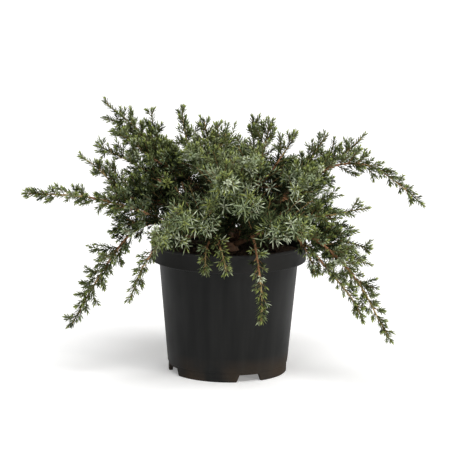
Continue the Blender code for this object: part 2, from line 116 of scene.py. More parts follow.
# Limbs of foliage, each on from a bough's end: bough, azimuth, its rise at the start, a
# third, two thirds and the tip, length, half width, half depth
LIMBS = {
    "left_long": ("left_low", 202, (30, 16, 9, 2), 0.188, 0.022, 0.022),
    "left_weeping": ("left_low", 192, (2, -55, -58, -63), 0.181, 0.024, 0.024),
    "left_apron": ("left_low", 198, (14, -2, -18, -34), 0.072, 0.026, 0.022),
    "left_rim": ("left_front", 214, (29, -39, -63, -68), 0.125, 0.018, 0.016),
    "left_skirt": ("left_front", 242, (14, 7, 1, -6), 0.086, 0.036, 0.026),
    "upper_left": ("left_upper", 172, (49, 38, 27, 16), 0.131, 0.026, 0.026),
    "mid_left": ("left_upper", 194, (-10, 19, 52, 23), 0.150, 0.026, 0.026),
    "left_between": ("left_upper", 189, (-1, 21, 42, 64), 0.112, 0.023, 0.022),
    "high_left": ("left_top", 165, (42, 41, 39, 38), 0.154, 0.024, 0.026),
    "high_left_low": ("left_top", 162, (39, 37, 34, 21), 0.141, 0.022, 0.022),
    "left_filling": ("left_upper", 168, (38, 30, 25, 20), 0.080, 0.034, 0.030),
    "left_spur": ("left_top", 181, (32, 33, 35, 36), 0.120, 0.022, 0.022),
    "high_back_left": ("left_top", 152, (23, 45, 68, 90), 0.115, 0.026, 0.028),
    "top_left": ("top_left", 170, (51, 64, 77, 90), 0.108, 0.025, 0.026),
    "top_second": ("top_left", 205, (91, 86, 81, 75), 0.085, 0.023, 0.024),
    "top_third": ("top_left", 24, (63, 78, 94, 100), 0.081, 0.023, 0.024),
    "top_front": ("top_left", 248, (50, 48, 46, 44), 0.080, 0.028, 0.028),
    "top_middle": ("top_left", 62, (50, 55, 61, 66), 0.088, 0.023, 0.028),
    "top_right_left": ("top_right", 101, (71, 68, 64, 61), 0.093, 0.023, 0.024),
    "top_right": ("top_right", 23, (85, 76, 80, 90), 0.088, 0.024, 0.028),
    "top_inner_right": ("top_right", 350, (0, 5, 10, 10), 0.050, 0.034, 0.030),
    "top_inner_back": ("top_right", 40, (10, 10, 10, 10), 0.055, 0.034, 0.034),
    "top_back_middle": ("top_right", 120, (30, 40, 50, 60), 0.062, 0.032, 0.030),
    "top_far_right": ("top_right", 0, (47, 53, 59, 65), 0.086, 0.024, 0.026),
    "right_long": ("right_upper", 7, (46, 23, -33, -44), 0.215, 0.022, 0.022),
    "right_far_high": ("right_upper", 20, (26, 32, 38, 44), 0.142, 0.022, 0.020),
    "right_high": ("right_upper", 33, (46, 46, 46, 54), 0.108, 0.025, 0.026),
    "right_rising": ("right_upper", 20, (10, 34, 60, 84), 0.115, 0.022, 0.022),
    "right_mid": ("right_mid", 347, (1, 7, 12, 13), 0.116, 0.024, 0.018),
    "right_back_inner": ("right_upper", 60, (30, 40, 50, 60), 0.060, 0.032, 0.030),
    "right_front": ("right_mid", 320, (50, 48, 46, 44), 0.096, 0.032, 0.026),
    "right_weeping": ("right_low", 330, (-1, -39, -56, -55), 0.194, 0.022, 0.022),
    "right_inner": ("right_low", 320, (-33, -33, -41, -65), 0.152, 0.018, 0.016),
    "right_low": ("right_low", 356, (-6, -10, -15, -14), 0.101, 0.026, 0.024),
    "right_low_second": ("right_low", 348, (-4, -19, -34, -8), 0.110, 0.023, 0.022),
    "right_low_upper": ("right_low", 8, (-9, -3, 3, 9), 0.084, 0.024, 0.022),
    "right_rim": ("right_low", 306, (-15, -41, -52, -60), 0.072, 0.014, 0.012),
    "front_hanging": ("front_right", 279, (0, -35, -70, -92), 0.134, 0.012, 0.010),
    "front_right": ("front_right", 304, (22, 15, 7, 0), 0.112, 0.042, 0.034),
    "front_sprigs": ("front_left", 262, (6, -16, -48, -85), 0.078, 0.012, 0.010),
    "front_second_sprig": ("front_left", 283, (13, -14, -40, -52), 0.090, 0.012, 0.010),
    "front_left": ("front_left", 244, (30, 22, 14, 6), 0.108, 0.042, 0.034),
    "front_middle": ("front_upper", 264, (32, 23, 15, 6), 0.126, 0.042, 0.036),
    "front_high": ("front_upper", 292, (48, 42, 36, 30), 0.098, 0.040, 0.036),
    "front_low_left": ("front_upper", 246, (8, 0, -8, -14), 0.075, 0.036, 0.030),
    "front_low_right": ("front_upper", 288, (8, 0, -8, -14), 0.075, 0.036, 0.030),
    "back_left_outer": ("back_left", 170, (25, 20, 15, 10), 0.078, 0.036, 0.030),
    "back_right_outer": ("back_right", 10, (25, 20, 15, 10), 0.070, 0.036, 0.030),
    "back_left_low": ("back_left", 142, (22, 10, -2, -14), 0.125, 0.042, 0.032),
    "back_left_high": ("back_left", 116, (42, 37, 31, 26), 0.112, 0.036, 0.030),
    "back_weeping": ("back_right", 74, (12, -23, -46, -66), 0.150, 0.034, 0.028),
    "back_high": ("back", 92, (46, 41, 37, 32), 0.110, 0.036, 0.030),
    "back_inner_left": ("back", 116, (10, 4, -2, -8), 0.080, 0.040, 0.034),
    "back_inner_right": ("back", 66, (10, 4, -2, -8), 0.080, 0.040, 0.034),
    "back_inner_low": ("back_right", 100, (10, 8, 6, 4), 0.070, 0.036, 0.032),
    "back_right_high": ("back_right", 54, (44, 38, 32, 26), 0.118, 0.036, 0.030),
    "back_right_low": ("back_right", 32, (14, 2, -10, -22), 0.140, 0.038, 0.032),
}
# Side shoots of a slender limb, to its left and right as the viewer sees it
SIDE_STEP = 0.0085
SIDE_SHARES = (0.24, 0.96)
SIDE_ANGLES = (56.0, 34.0)
SIDE_REACH = 1.06
SIDE_DEPTH = 0.30
SIDE_TRIM = 0.15

# Shoots that come forward over the front: how many on each limb there
FRONT_SHOOTS = {
    "front_left": 12,
    "front_middle": 14,
    "front_high": 8,
    "front_low_left": 7,
    "front_low_right": 7,
    "front_right": 13,
    "top_front": 5,
    "right_front": 8,
    "left_skirt": 9,
    "top_inner_right": 4,
    "left_filling": 5,
}
FRONT_SHARES = (0.15, 0.92)
FRONT_AZIMUTHS = (238.0, 302.0)
FRONT_RISES = (0.0, 42.0)
FRONT_LENGTHS = (0.014, 0.036)
PLAIN, SILVER, BLUE, GREEN, FRESH = range(5)
FRONT_KINDS = (SILVER, BLUE, GREEN, BLUE, SILVER, BLUE, GREEN, FRESH)

# Gaps of sky in the crown: x and height where the line of sight crosses the plane y = 0,
# and the gap's radius
SKY_GAPS = {
    "above the long left shoot": (-0.168, 0.220, 0.007),
    "in front of the upper left limb": (-0.157, 0.234, 0.008),
    "over the middle left limb": (-0.168, 0.271, 0.009),
    "over the left weeping limb": (-0.157, 0.172, 0.009),
    "beside the pot's rim on the left": (-0.096, 0.154, 0.008),
    "between the upper left limbs": (-0.170, 0.252, 0.008),
    "behind the upper left limb's tip": (-0.129, 0.254, 0.008),
    "under the long left shoot": (-0.146, 0.157, 0.009),
    "outside the high left limb": (-0.143, 0.321, 0.009),
    "right of the high left limb": (-0.092, 0.309, 0.008),
    "right of the top left shoot": (-0.048, 0.320, 0.008),
    "between the top shoots": (-0.003, 0.296, 0.006),
    "between the top right shoots": (0.025, 0.310, 0.006),
    "right of the top shoots": (0.047, 0.272, 0.007),
    "right of the far top shoot": (0.072, 0.271, 0.008),
    "left of the right limbs": (0.086, 0.284, 0.009),
    "in the first fork on the right": (0.119, 0.282, 0.009),
    "below the forks on the right": (0.134, 0.249, 0.009),
    "in the second fork on the right": (0.158, 0.285, 0.008),
    "under the right arch": (0.137, 0.208, 0.009),
    "further under the right arch": (0.151, 0.196, 0.008),
    "over the right middle limb's tip": (0.170, 0.199, 0.008),
    "over the right weeping limb": (0.158, 0.162, 0.010),
    "inside the right weeping limb": (0.116, 0.113, 0.008),
    "outside the right weeping limb": (0.170, 0.131, 0.009),
}
PATH_STEPS = 48

# Other side shoots on the limbs, and short shoots on all of them. Pairs are for the body
# of the plant and for its slender outer limbs.
GOLDEN_ANGLE = 137.5
SHOOT_SPACINGS = (0.0044, 0.0040)
SHOOT_ANGLES = (54.0, 34.0)
SHOOT_CURLS = (0.50, 0.20)
HEART = (0.0, 0.0, 0.165)
UPPER_GAIN = 0.25
SHORTEST_SHOOT = 0.005
BODY_WIDTH = 0.034
SLENDER_WIDTH = 0.025
SLENDER_STYLE = 0.60
STYLE_AT = 0.7
DEEP_GAPS = 0.40
TIP_TRIM = 0.35
UPWARD = (0.0, 0.0, 1.0)
VIEW_AXIS = (0.0, 1.0, 0.0)
SIDE_CURL = 0.10
FORWARD = (0.0, -1.0, 0.15)
FRONT_CURL = 0.45
SIDE_ROOM = 0.60
CLEARANCE = 0.016
BOUGH_SHOOT_REACH = 0.040
BOUGH_SHOOT_START = 0.12
BOUGH_SHOOT_SPACING = 0.0022
SPRIG_SPACINGS = (0.0340, 0.0125)
SPRIG_ANGLES = (50.0, 38.0)
SPRIG_LENGTHS = (0.007, 0.018)

# Needles, again for the body and for the outer limbs
WHORL_PITCHES = (0.0027, 0.0020)
WHORL_CROWDING = (1.30, 1.0)
NEEDLE_LENGTHS = (0.0142, 0.0073)
NEEDLE_WIDTHS = (0.00125, 0.00165)
NEEDLE_SPREADS = (70.0, 50.0)
TIP_SPREADS = (34.0, 20.0)
TIP_SHORTENING = (0.55, 0.15)
NEEDLE_DEPTH = 0.00050
FOOT_WIDTH = 0.75
WIDEST_AT = 0.58
TIP_WHORLS = (0.0018, 0.0030)
LEADER_LENGTH = 0.030
LEADER_PITCH = 0.0052
LAST_NEEDLES = 0.0052
STAR_SHARE = 0.20
STAR_GAIN = 1.25
MOST_TRIANGLES = 190000

# Colour of the side lamps
WARM_WHITE = (1.0, 0.94, 0.86)

# Camera, solved from the pot in the photo
CAMERA_PLACE = (-0.0036, -2.9502, 0.7226)
CAMERA_AIM = (-0.0036, 0.0, 0.1784)
CAMERA_ROLL = 0.62
CAMERA_LENS = 196.05


def unit(vectors):
    """Each vector divided by its own length."""
    length = np.linalg.norm(vectors, axis=-1, keepdims=True)
    return vectors / np.maximum(length, 1e-12)


def new_piece(name, points, face_sets, materials, face_slots=None, smooth=True):
    """A mesh object from an array of points and arrays of faces, each array with its own
    number of corners. face_slots gives each face's material, in the same order."""
    mesh = bpy.data.meshes.new(name)
    corners = np.concatenate([faces.ravel() for faces in face_sets])
    counts = np.concatenate([np.full(len(f), f.shape[1]) for f in face_sets])
    starts = np.concatenate([[0], np.cumsum(counts)[:-1]])
    mesh.vertices.add(len(points))
    mesh.vertices.foreach_set("co", np.ascontiguousarray(points, np.float32).ravel())
    mesh.loops.add(len(corners))
    mesh.loops.foreach_set("vertex_index", corners.astype(np.int32))
    mesh.polygons.add(len(counts))
    mesh.polygons.foreach_set("loop_start", starts.astype(np.int32))
    for material in materials:
        mesh.materials.append(material)
    if face_slots is not None:
        mesh.polygons.foreach_set("material_index", face_slots.astype(np.int32))
    mesh.update(calc_edges=True)
    if smooth:
        mesh.shade_smooth()
    piece = bpy.data.objects.new(name, mesh)
    bpy.context.scene.collection.objects.link(piece)
    return piece


def put_on(piece, slot, *nodes):
    """Ties a finished piece to the one body and hides the nodes it stands for; slot is not used."""
    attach(piece, "root")
    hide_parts(*nodes)
    return piece


# Materials


def new_material(name, colour, roughness, specular=0.5):
    """A plain material, with its tree and its shader."""
    material = bpy.data.materials.new(name)
    material.use_nodes = True
    tree = material.node_tree
    shader = tree.nodes["Principled BSDF"]
    shader.inputs["Base Color"].default_value = (*colour, 1.0)
    shader.inputs["Roughness"].default_value = roughness
    shader.inputs["Specular IOR Level"].default_value = specular
    return material, tree, shader


def place(tree, scale=(1.0, 1.0, 1.0)):
    """The point on the object, stretched by scale."""
    where = tree.nodes.new("ShaderNodeTexCoord")
    mapping = tree.nodes.new("ShaderNodeMapping")
    mapping.inputs["Scale"].default_value = scale
    tree.links.new(where.outputs["Object"], mapping.inputs["Vector"])
    return mapping.outputs["Vector"]


def cloudy(tree, vector, scale, detail=4.0, roughness=0.55):
    """A cloudy pattern from 0 to 1."""
    noise = tree.nodes.new("ShaderNodeTexNoise")
    noise.inputs["Scale"].default_value = scale
    noise.inputs["Detail"].default_value = detail
    noise.inputs["Roughness"].default_value = roughness
    tree.links.new(vector, noise.inputs["Vector"])
    return noise.outputs["Fac"]


def ramp(tree, value, low, high, to_low=0.0, to_high=1.0):
    """A value stretched from the span low to high onto the span to_low to to_high."""
    span = tree.nodes.new("ShaderNodeMapRange")
    span.inputs["From Min"].default_value = low
    span.inputs["From Max"].default_value = high
    span.inputs["To Min"].default_value = to_low
    span.inputs["To Max"].default_value = to_high
    tree.links.new(value, span.inputs["Value"])
    return span.outputs["Result"]


def blended(tree, share, first, second):
    """One colour changing to another with share. Either is a colour or a socket."""
    mix = tree.nodes.new("ShaderNodeMix")
    mix.data_type = "RGBA"
    tree.links.new(share, mix.inputs["Factor"])
    for colour, socket in ((first, mix.inputs["A"]), (second, mix.inputs["B"])):
        if isinstance(colour, tuple):
            socket.default_value = (*colour, 1.0)
        else:
            tree.links.new(colour, socket)
    return mix.outputs["Result"]


def both(tree, first, second, kind="MULTIPLY"):
    """Two values put together."""
    sum_node = tree.nodes.new("ShaderNodeMath")
    sum_node.operation = kind
    tree.links.new(first, sum_node.inputs[0])
    tree.links.new(second, sum_node.inputs[1])
    return sum_node.outputs["Value"]


def roughen(tree, shader, height, distance, strength):
    """A bump from a height pattern."""
    bump = tree.nodes.new("ShaderNodeBump")
    bump.inputs["Distance"].default_value = distance
    bump.inputs["Strength"].default_value = strength
    tree.links.new(height, bump.inputs["Height"])
    tree.links.new(bump.outputs["Normal"], shader.inputs["Normal"])


def pot_plastic():
    """Satin black plastic: faint upright flow marks, a painted sheen that lightens the rim band in
    patches, and a dusty brown tint that rises a little way from the foot."""
    material, tree, shader = new_material("black_pot_plastic", (0.010, 0.010, 0.010), 0.4, 0.12)
    flow = cloudy(tree, place(tree, (34.0, 34.0, 2.2)), 2.0)
    patches = cloudy(tree, place(tree), 16.0)
    grain = cloudy(tree, place(tree), 900.0, 2.0)
    height = tree.nodes.new("ShaderNodeSeparateXYZ")
    tree.links.new(place(tree), height.inputs["Vector"])
    near_foot = ramp(tree, height.outputs["Z"], 0.030, 0.004)
    dust = both(tree, near_foot, ramp(tree, patches, 0.38, 0.66))
    body = blended(tree, ramp(tree, flow, 0.35, 0.70), (0.0082, 0.0086, 0.0086), (0.0150, 0.0154, 0.0150))
    # Painted sheen: the rim band is made lighter in patches, in place of light it would reflect.
    painted_band_sheen = ramp(tree, height.outputs["Z"], POT_HEIGHT - BAND_HEIGHT - 0.001, POT_HEIGHT - BAND_HEIGHT + 0.001)
    body = blended(tree, both(tree, painted_band_sheen, ramp(tree, patches, 0.2, 0.5, 0.4, 0.8)), body, (0.0165, 0.0165, 0.0160))
    tinted = blended(tree, both(tree, dust, ramp(tree, grain, 0.2, 0.8, 0.4, 0.8)), body, (0.085, 0.058, 0.036))
    tree.links.new(tinted, shader.inputs["Base Color"])
    satin = ramp(tree, patches, 0.35, 0.65, 0.50, 0.60)
    tree.links.new(both(tree, satin, ramp(tree, dust, 0.0, 1.0, 0.0, 0.3), "ADD"), shader.inputs["Roughness"])
    roughen(tree, shader, both(tree, flow, ramp(tree, grain, 0.0, 1.0, 0.0, 0.25), "ADD"), 0.0004, 0.25)
    return material


def peat_earth(name, dark, light):
    """Moist peat: two browns in clouds and fine grain."""
    material, tree, shader = new_material(name, dark, 0.9, 0.25)
    clouds = cloudy(tree, place(tree), 150.0, 6.0, 0.65)
    tree.links.new(blended(tree, ramp(tree, clouds, 0.35, 0.68), dark, light), shader.inputs["Base Color"])
    roughen(tree, shader, cloudy(tree, place(tree), 700.0, 5.0, 0.7), 0.0012, 0.7)
    return material


def bark_skin(name, dark, light, grey):
    """Thin bark: red-brown clouds, with grey flakes over a part of it."""
    material, tree, shader = new_material(name, dark, 0.75, 0.35)
    clouds = cloudy(tree, place(tree), 190.0, 5.0, 0.6)
    flakes = cloudy(tree, place(tree), 420.0, 3.0, 0.6)
    warm = blended(tree, ramp(tree, clouds, 0.36, 0.66), dark, light)
    tree.links.new(blended(tree, ramp(tree, flakes, 0.56, 0.72, 0.0, 0.6), warm, grey), shader.inputs["Base Color"])
    roughen(tree, shader, flakes, 0.0006, 0.6)
    return material


# The pot


def lip_arc(count=10):
    """Half a circle over the lip, from the inner wall to the outer wall."""
    turn = np.linspace(math.pi, 0.0, count)
    radius = RIM_RADIUS - LIP_ROUNDING + LIP_ROUNDING * np.cos(turn)
    height = POT_HEIGHT - LIP_ROUNDING + LIP_ROUNDING * np.sin(turn)
    return np.stack([radius, height], axis=1)


def pot_section():
    """The pot's outline from the middle of its floor, up the inside, over the lip, down
    the outside, round the foot and in again, as points of (radius, height)."""
    ledge = POT_HEIGHT - BAND_HEIGHT
    floor = FLOOR_HEIGHT + WALL
    inside = [
        (BODY_FOOT_RADIUS - WALL - 0.006, floor),
        (BODY_FOOT_RADIUS - WALL - 0.001, floor + 0.001),
        (BODY_FOOT_RADIUS - WALL, floor + 0.004),
        (BODY_TOP_RADIUS - WALL, ledge - 0.0005),
        (RIM_RADIUS - 2 * LIP_ROUNDING - 0.0008, ledge + WALL),
        (RIM_RADIUS - 2 * LIP_ROUNDING, POT_HEIGHT - 0.004),
    ]
    outside = [
        (RIM_RADIUS - 0.0001, POT_HEIGHT - 0.0030),
        (RIM_RADIUS - 0.0006, POT_HEIGHT - 0.0036),
        (RIM_RADIUS - 0.0006, ledge + 0.0022),
        (RIM_RADIUS - 0.0003, ledge + 0.0014),
        (RIM_RADIUS - 0.0006, ledge + 0.0004),
        (RIM_RADIUS - 0.0014, ledge),
        (BODY_TOP_RADIUS + 0.0014, ledge),
        (BODY_TOP_RADIUS + 0.0003, ledge - 0.0004),
        (BODY_TOP_RADIUS, ledge - 0.0016),
        (BODY_FOOT_RADIUS + 0.0001, FOOT_HEIGHT + 0.0006),
        (BODY_FOOT_RADIUS - 0.0002, FOOT_HEIGHT),
        (BODY_FOOT_RADIUS - 0.0009, FOOT_HEIGHT - 0.0005),
    ]
    return np.concatenate([inside, lip_arc(), outside])


def notch_lift(azimuths):
    """How high the foot's lower edge is cut away at each azimuth: a flat-topped wedge at
    each notch, sloping from its full width at the ground to its narrower top."""
    lift = np.zeros_like(azimuths)
    for centre in NOTCH_AZIMUTHS:
        away = np.abs((azimuths - centre + 180.0) % 360.0 - 180.0)
        across = np.radians(away) * FOOT_RADIUS
        slope = (NOTCH_HALF_WIDTH - across) / (NOTCH_HALF_WIDTH * (1 - NOTCH_TOP_SHARE))
        lift = np.maximum(lift, NOTCH_HEIGHT * np.clip(slope, 0.0, 1.0))
    return lift


def pot_azimuths():
    """Even azimuths, with more of them down the sloping sides of the notches."""
    full = math.degrees(NOTCH_HALF_WIDTH / FOOT_RADIUS)
    top = full * NOTCH_TOP_SHARE
    sides = np.concatenate([np.linspace(-full, -top, 5), np.linspace(top, full, 5)])
    extra = (np.array(NOTCH_AZIMUTHS)[:, None] + sides).ravel() % 360.0
    even = np.arange(POT_TURNS) * 360.0 / POT_TURNS
    clear = np.abs(even[:, None] - extra[None, :]).min(axis=1) > 0.25
    return np.sort(np.concatenate([even[clear], extra]))


def make_pot():
    """The section turned round the axis. The foot's lower edge follows the notches, then
    the surface goes in under the foot, up behind it and across under the floor."""
    azimuths = pot_azimuths()
    lift = notch_lift(azimuths)
    count = len(azimuths)
    turn = np.radians(azimuths)
    section = pot_section()
    radius = np.repeat(section[:, :1], count, axis=1)
    height = np.repeat(section[:, 1:], count, axis=1)
    inner = FOOT_RADIUS - FOOT_WALL
    foot_rings = [
        (FOOT_RADIUS + 0.0001, np.maximum(lift, 0.0007)),
        (FOOT_RADIUS - 0.0006, lift),
        (inner + 0.0005, lift),
        (inner, lift + 0.0005),
        (inner - 0.0010, np.full(count, FLOOR_HEIGHT + 0.0004)),
        (inner - 0.0060, np.full(count, FLOOR_HEIGHT)),
    ]
    radius = np.concatenate([radius] + [np.full((1, count), r) for r, _ in foot_rings])
    height = np.concatenate([height] + [np.asarray(h)[None] for _, h in foot_rings])
    ring = np.stack([radius * np.cos(turn), radius * np.sin(turn), height], axis=2)
    rows = len(ring)
    points = np.concatenate([ring.reshape(-1, 3), [[0, 0, FLOOR_HEIGHT + WALL], [0, 0, FLOOR_HEIGHT]]])
    i, j = np.meshgrid(np.arange(rows - 1), np.arange(count), indexing="ij")
    k = (j + 1) % count
    quads = np.stack([i * count + j, (i + 1) * count + j, (i + 1) * count + k, i * count + k], axis=2)
    j = np.arange(count)
    k = (j + 1) % count
    top = np.stack([np.full(count, rows * count), j, k], axis=1)
    last = (rows - 1) * count
    under = np.stack([np.full(count, rows * count + 1), last + k, last + j], axis=1)
    quads = quads.reshape(-1, 4)
    pot = new_piece("pot_shell", points, [quads, top, under], [pot_plastic()])
    drill(pot)
    pot.data.shade_smooth()
    pot.data.set_sharp_from_angle(angle=math.radians(32))
    return put_on(pot, "pot_plastic", "pot")


def drill(pot):
    """Cuts the round drain holes in the floor with cylinders that are then removed."""
    sides = 32
    turn = np.arange(sides) * 2 * math.pi / sides
    circle = np.stack([DRAIN_RADIUS * np.cos(turn), DRAIN_RADIUS * np.sin(turn)], axis=1)
    points = []
    walls = []
    caps = []
    for n, azimuth in enumerate(NOTCH_AZIMUTHS):
        centre = DRAIN_REACH * np.array([math.cos(math.radians(azimuth)), math.sin(math.radians(azimuth))])
        for height in (FLOOR_HEIGHT - 0.004, FLOOR_HEIGHT + WALL + 0.004):
            points.append(np.column_stack([circle + centre, np.full(sides, height)]))
        first = 2 * sides * n + np.arange(sides)
        after = 2 * sides * n + (np.arange(sides) + 1) % sides
        walls.append(np.stack([first, after, after + sides, first + sides], axis=1))
        caps.append(np.stack([first[::-1], first + sides]))
    cutter = new_piece("drain_cutter", np.concatenate(points), [np.concatenate(walls), np.concatenate(caps)], [])
    cut = pot.modifiers.new("drains", "BOOLEAN")
    cut.operation = "DIFFERENCE"
    cut.solver = "EXACT"
    cut.object = cutter
    graph = bpy.context.evaluated_depsgraph_get()
    drilled = bpy.data.meshes.new_from_object(pot.evaluated_get(graph))
    pot.modifiers.clear()
    pot.data = drilled
    bpy.data.objects.remove(cutter, do_unlink=True)


# The peat


def rolling(x, y, waves, seed):
    """A sum of waves over the ground, each with its own direction, length and phase."""
    rng = np.random.default_rng(seed)
    total = np.zeros_like(x)
    for length, height in waves:
        for _ in range(5):
            way = rng.uniform(0, 2 * math.pi)
            phase = rng.uniform(0, 2 * math.pi)
            along = (x * math.cos(way) + y * math.sin(way)) * 2 * math.pi / length
            total += height * np.sin(along + phase)
    return total


def peat_height(x, y):
    """The bed's height: a low rise round the stem, and lumps that fade at the wall."""
    reach = np.hypot(x, y)
    rise = PEAT_EDGE + (PEAT_MIDDLE - PEAT_EDGE) * np.clip(1 - reach / 0.075, 0, 1) ** 0.8
    fade = np.clip((PEAT_RADIUS - reach) / 0.010, 0, 1)
    lumps = rolling(x, y, ((0.030, 0.00035), (0.012, 0.00030), (0.005, 0.00022)), 5)
    return rise + lumps * (0.3 + 0.7 * fade) - 0.0006


def make_peat():
    """The bed of peat: rings round the stem with the bed's height, closed by a wall down
    the inside of the pot and a flat underside."""
    count = 220
    rings = np.concatenate([np.linspace(0.004, PEAT_RADIUS, 64), [PEAT_RADIUS]])
    turn = np.arange(count) * 2 * math.pi / count
    x = rings[:, None] * np.cos(turn)
    y = rings[:, None] * np.sin(turn)
    z = peat_height(x, y)
    z[-1] = PEAT_EDGE - 0.006
    points = np.concatenate(
        [np.stack([x, y, z], axis=2).reshape(-1, 3), [[0, 0, PEAT_MIDDLE], [0, 0, PEAT_EDGE - 0.006]]]
    )
    rows = len(rings)
    i, j = np.meshgrid(np.arange(rows - 1), np.arange(count), indexing="ij")
    k = (j + 1) % count
    quads = np.stack([i * count + j, (i + 1) * count + j, (i + 1) * count + k, i * count + k], axis=2)
    j = np.arange(count)
    k = (j + 1) % count
    top = np.stack([np.full(count, rows * count), j, k], axis=1)
    last = (rows - 1) * count
    under = np.stack([np.full(count, rows * count + 1), last + k, last + j], axis=1)
    earth = peat_earth("peat_bed_earth", (0.013, 0.008, 0.005), (0.052, 0.031, 0.018))
    bed = new_piece("peat_bed", points, [quads.reshape(-1, 4), top, under], [earth])
    return put_on(bed, "peat", "peat")


def lump_shape(rings=4, sides=6):
    """A closed ball of rings and two poles, as points and triangles."""
    lean = np.linspace(0, math.pi, rings + 2)[1:-1]
    turn = np.arange(sides) * 2 * math.pi / sides
    ball = np.stack(
        [
            np.sin(lean)[:, None] * np.cos(turn),
            np.sin(lean)[:, None] * np.sin(turn),
            np.cos(lean)[:, None] * np.ones(sides),
        ],
        axis=2,
    ).reshape(-1, 3)
    points = np.concatenate([ball, [[0, 0, 1], [0, 0, -1]]])
    j = np.arange(sides)
    k = (j + 1) % sides
    faces = [np.stack([np.full(sides, rings * sides), j, k], axis=1)]
    for i in range(rings - 1):
        low = (i + 1) * sides
        high = i * sides
        faces.append(np.stack([high + j, low + j, low + k], axis=1))
        faces.append(np.stack([high + j, low + k, high + k], axis=1))
    last = (rings - 1) * sides
    faces.append(np.stack([np.full(sides, rings * sides + 1), last + k, last + j], axis=1))
    return points, np.concatenate(faces)


def scattered(name, count, sizes, stretch, material, rng):
    """Many small lumps lying on the peat: one ball, stretched, turned and made uneven
    for each, with a third of its height sunk in the bed."""
    ball, triangles = lump_shape()
    reach = (PEAT_RADIUS - 0.004) * np.sqrt(rng.uniform(0.02, 1.0, count))
    turn = rng.uniform(0, 2 * math.pi, count)
    x = reach * np.cos(turn)
    y = reach * np.sin(turn)
    size = sizes[0] + (sizes[1] - sizes[0]) * rng.uniform(0, 1, count) ** 2.5
    shape = ball[None] * (size[:, None] * np.array(stretch))[:, None, :]
    shape = shape * rng.uniform(0.72, 1.2, (count, len(ball), 1))
    spin = rng.uniform(0, 2 * math.pi, count)
    tip = rng.uniform(-0.4, 0.4, count)
    cos_tip, sin_tip = np.cos(tip)[:, None], np.sin(tip)[:, None]
    px = shape[..., 0] * cos_tip - shape[..., 2] * sin_tip
    pz = shape[..., 0] * sin_tip + shape[..., 2] * cos_tip
    cos_spin, sin_spin = np.cos(spin)[:, None], np.sin(spin)[:, None]
    qx = px * cos_spin - shape[..., 1] * sin_spin
    qy = px * sin_spin + shape[..., 1] * cos_spin
    base = peat_height(x, y) + size * stretch[2] * 0.35
    points = np.stack([qx + x[:, None], qy + y[:, None], pz + base[:, None]], axis=2)
    offsets = np.arange(count)[:, None, None] * len(ball)
    faces = (triangles[None] + offsets).reshape(-1, 3)
    piece = new_piece(name, points.reshape(-1, 3), [faces], [material], smooth=False)
    return put_on(piece, "peat", "peat")


# The paths of boughs and limbs


def bent_path(start, azimuth, rises, length):
    """Points along a limb in one upright plane: its rise above the level changes evenly
    between the rises, which are given at even shares of its length."""
    share = (np.arange(PATH_STEPS) + 0.5) / PATH_STEPS
    rise = np.radians(np.interp(share, np.linspace(0, 1, len(rises)), rises))
    turn = math.radians(azimuth)
    flat = np.cos(rise)
    step = np.stack([flat * math.cos(turn), flat * math.sin(turn), np.sin(rise)], axis=1)
    path = np.zeros((PATH_STEPS + 1, 3))
    path[1:] = np.cumsum(step * (length / PATH_STEPS), axis=0)
    return path + np.asarray(start)


def bough_path(name):
    """The bough's centre line, from just clear of the stem's side."""
    height, azimuth, rise_start, rise_end, length = BOUGHS[name]
    turn = math.radians(azimuth)
    tilt = abs(math.sin(math.radians(rise_start)))
    reach = STEM_RADIUS + BOUGH_FOOT_RADIUS * tilt + GAP
    start = (reach * math.cos(turn), reach * math.sin(turn), height)
    return bent_path(start, azimuth, (rise_start, rise_end), length)


def limb_path(name, rng):
    """The limb's centre line, with a slight wander that dies out at both ends. It stops
    short of the mass's tip by the reach of its last needles."""
    bough, azimuth, rises, length = LIMBS[name][:4]
    path = bent_path(bough_path(bough)[-1], azimuth, rises, length)
    share = np.linspace(0, 1, PATH_STEPS + 1)
    side = np.array([-math.sin(math.radians(azimuth)), math.cos(math.radians(azimuth)), 0.0])
    phase = rng.uniform(0, 2 * math.pi, 2)
    fade = np.sin(math.pi * share)
    sideways = 0.0014 * fade * np.sin(5.0 * share + phase[0])
    upward = 0.0010 * fade * np.sin(9.0 * share + phase[1])
    path = path + sideways[:, None] * side
    path[:, 2] += upward
    kept = np.linspace(0, 1 - LAST_NEEDLES / length, PATH_STEPS + 1)
    return np.stack([np.interp(kept, share, path[:, k]) for k in range(3)], axis=1)


